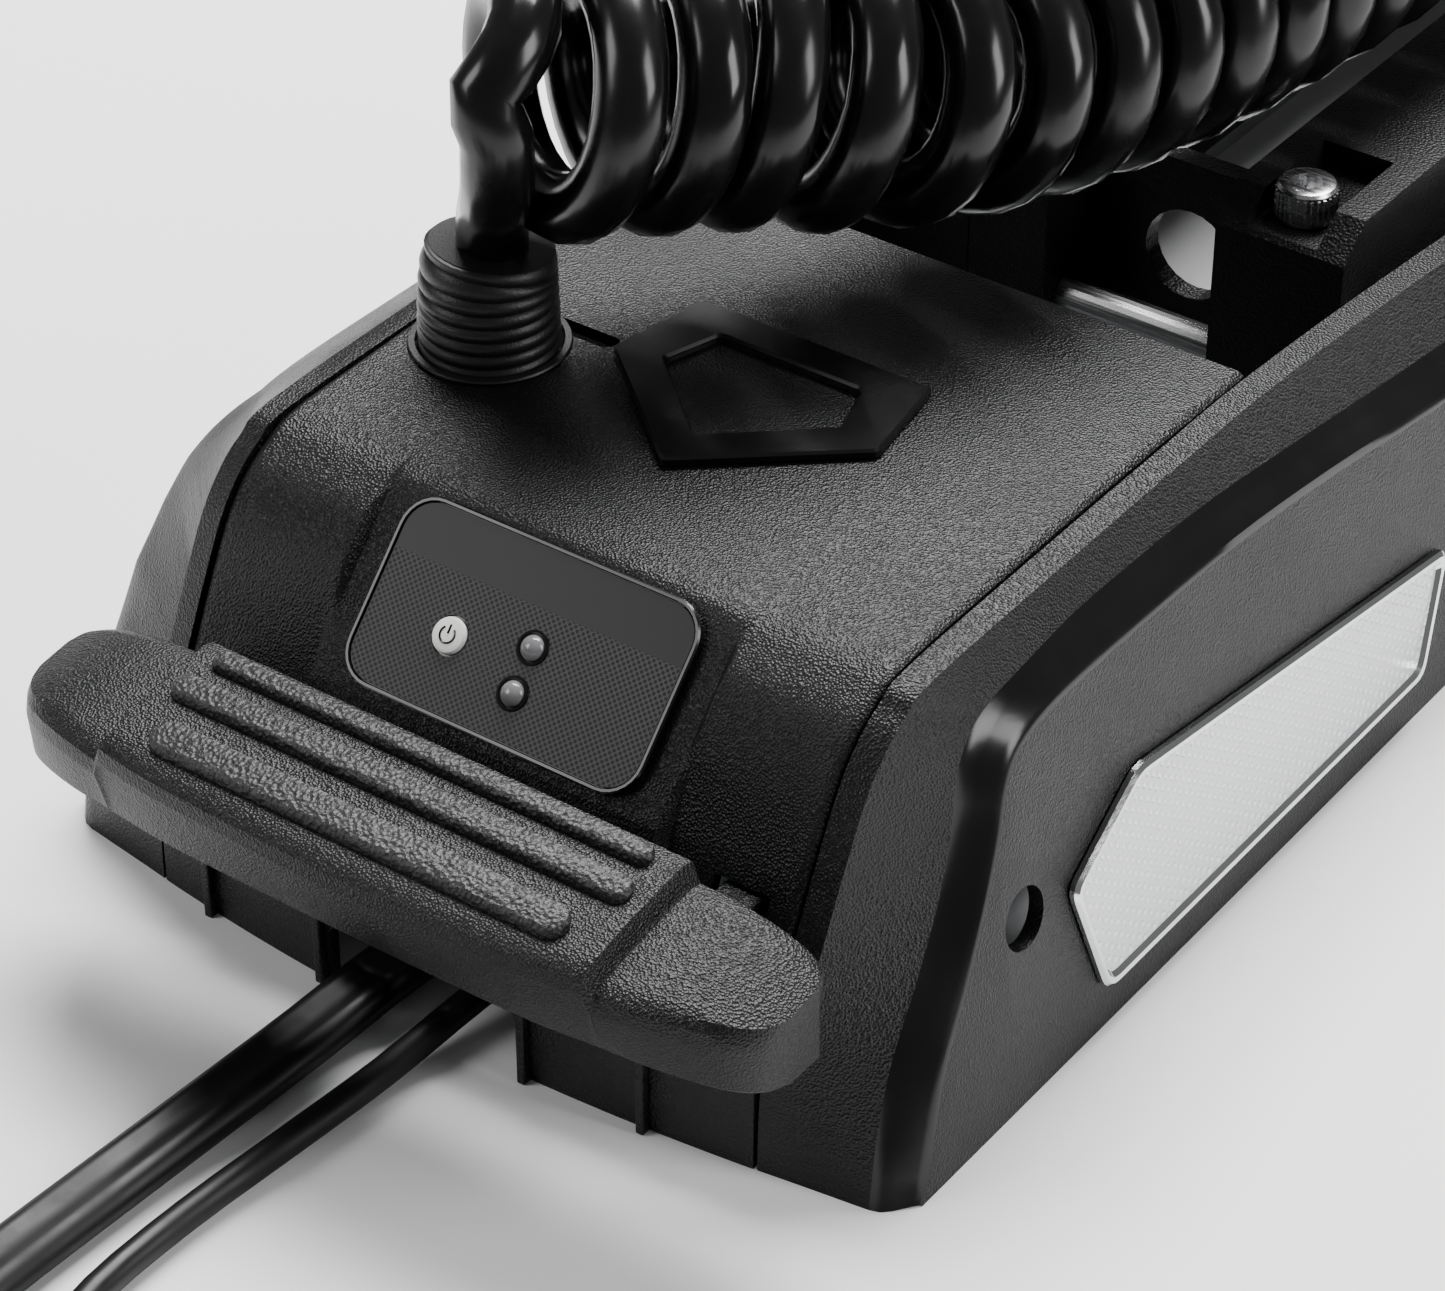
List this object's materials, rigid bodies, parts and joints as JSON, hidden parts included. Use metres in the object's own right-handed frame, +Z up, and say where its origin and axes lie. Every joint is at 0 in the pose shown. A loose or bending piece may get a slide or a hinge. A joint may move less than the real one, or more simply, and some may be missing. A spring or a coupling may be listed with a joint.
{
  "type": "trolling motor",
  "caption": "Bow-mounted electric trolling motor: black deck mount with stow pedal, tilting steering housing, long mast with control head, and a submerged motor with propeller.",
  "frame": {"origin": "the centre of the mount's flat deck face, which lies on the boat's bow deck", "axes": "+Z up along the deployed mast, +Y over the bow, +X to starboard"},
  "size_m": [0.237, 1.1199, 1.547],
  "materials": {
    "cast_black": "fine textured black powder coat",
    "moulded_black": "grained black moulding",
    "gloss_black": "smooth glossy black",
    "rubber": "matte black rubber",
    "stainless": "plain stainless steel",
    "deck_aluminium": "satin aluminium",
    "badge_silver": "bright frame around a dimpled silver plate",
    "mast_composite": "smooth black composite",
    "lower_unit_black": "black paint",
    "white_mark": "white moulding",
    "lens_grey": "unlit grey lens",
    "board_green": "green circuit board",
    "bronze": "machined bronze",
    "copper": "copper windings on a steel core",
    "ferrite": "dark ceramic magnet",
    "cable_black": "glossy black cable jacket"
  },
  "bodies": {
    "mount": {"base_tray": "deck_aluminium", "side_plate_right": "moulded_black", "side_plate_left": "moulded_black", "badge_right": "badge_silver", "badge_left": "badge_silver", "bow_bracket_right": "cast_black", "bow_bracket_left": "cast_black", "bracket_screw_right": "stainless", "bracket_screw_left": "stainless", "centre_cover": "moulded_black", "cover_emblem": "gloss_black", "control_panel": "gloss_black", "status_lens_upper": "lens_grey", "status_lens_lower": "lens_grey", "control_board": "board_green", "rear_fascia": "moulded_black", "cable_clamp": "moulded_black", "cross_plate": "cast_black", "latch_pin": "stainless", "tilt_pin": "stainless", "pedal_rod": "stainless", "pedal_spring": "stainless", "strain_relief_boot": "rubber", "coil_lead": "cable_black", "power_cable": "cable_black", "network_cable": "cable_black", "power_coil": "cable_black", "network_coil": "cable_black", "power_plug": "moulded_black", "network_plug": "moulded_black"},
    "pedal": {"stow_pedal": "moulded_black", "pedal_grip_rear": "rubber", "pedal_grip_middle": "rubber", "pedal_grip_front": "rubber"},
    "button": {"power_button": "white_mark"},
    "tilt": {"steering_housing": "cast_black", "housing_cap": "cast_black", "upper_bush": "bronze", "lower_bush": "bronze", "steering_motor": "stainless"},
    "pinion": {"steering_pinion": "stainless"},
    "steer": {"steering_sleeve": "deck_aluminium", "steering_gear": "bronze"},
    "mast": {"mast_tube": "mast_composite", "depth_collar": "moulded_black", "coil_wrap": "cable_black", "control_head_base": "moulded_black", "control_head_cover": "moulded_black", "heading_indicator": "white_mark", "motor_tube": "lower_unit_black", "nose_cone": "lower_unit_black", "end_bell": "lower_unit_black", "skeg": "lower_unit_black", "field_ring": "ferrite"},
    "prop": {"armature": "copper", "prop_shaft": "stainless", "drive_pin": "stainless", "propeller": "mast_composite", "prop_nut": "stainless"}
  },
  "joints": [
    {"name": "pedal_press", "type": "hinge", "parent": "mount", "child": "pedal", "pos_m": [0, -0.215, 0.048], "axis": [1, 0, 0], "range_deg": [0, 8], "stiffness_Nm_per_rad": 12, "springref_deg": -6.88},
    {"name": "power_press", "type": "slide", "parent": "mount", "child": "button", "axis": [0, 0.7267, -0.687], "range_m": [0, 0.0008], "stiffness_N_per_m": 400, "springref_m": -0.0008},
    {"name": "mast_tilt", "type": "hinge", "parent": "mount", "child": "tilt", "pos_m": [0, 0.245, 0.075], "axis": [1, 0, 0], "range_deg": [0, 90], "deforming": ["coil_lead"]},
    {"name": "mast_steer", "type": "hinge", "parent": "tilt", "child": "steer", "pos_m": [0, 0.345, 0.07], "axis": [0, 0, 1], "range_deg": [-180, 180]},
    {"name": "pinion_spin", "type": "hinge", "parent": "tilt", "child": "pinion", "pos_m": [0, 0.383, 0.07], "axis": [0, 0, 1], "range_deg": [-675, 675]},
    {"name": "mast_lift", "type": "slide", "parent": "steer", "child": "mast", "axis": [0, 0, 1], "range_m": [0, 0.78], "deforming": ["coil_wrap"]},
    {"name": "propeller_spin", "type": "hinge", "parent": "mast", "child": "prop", "pos_m": [0, 0.345, -1], "axis": [0, 1, 0], "continuous": true}
  ],
  "couplings": [
    {"joint": "pinion_spin", "follows": "mast_steer", "ratio": -3.75}
  ]
}
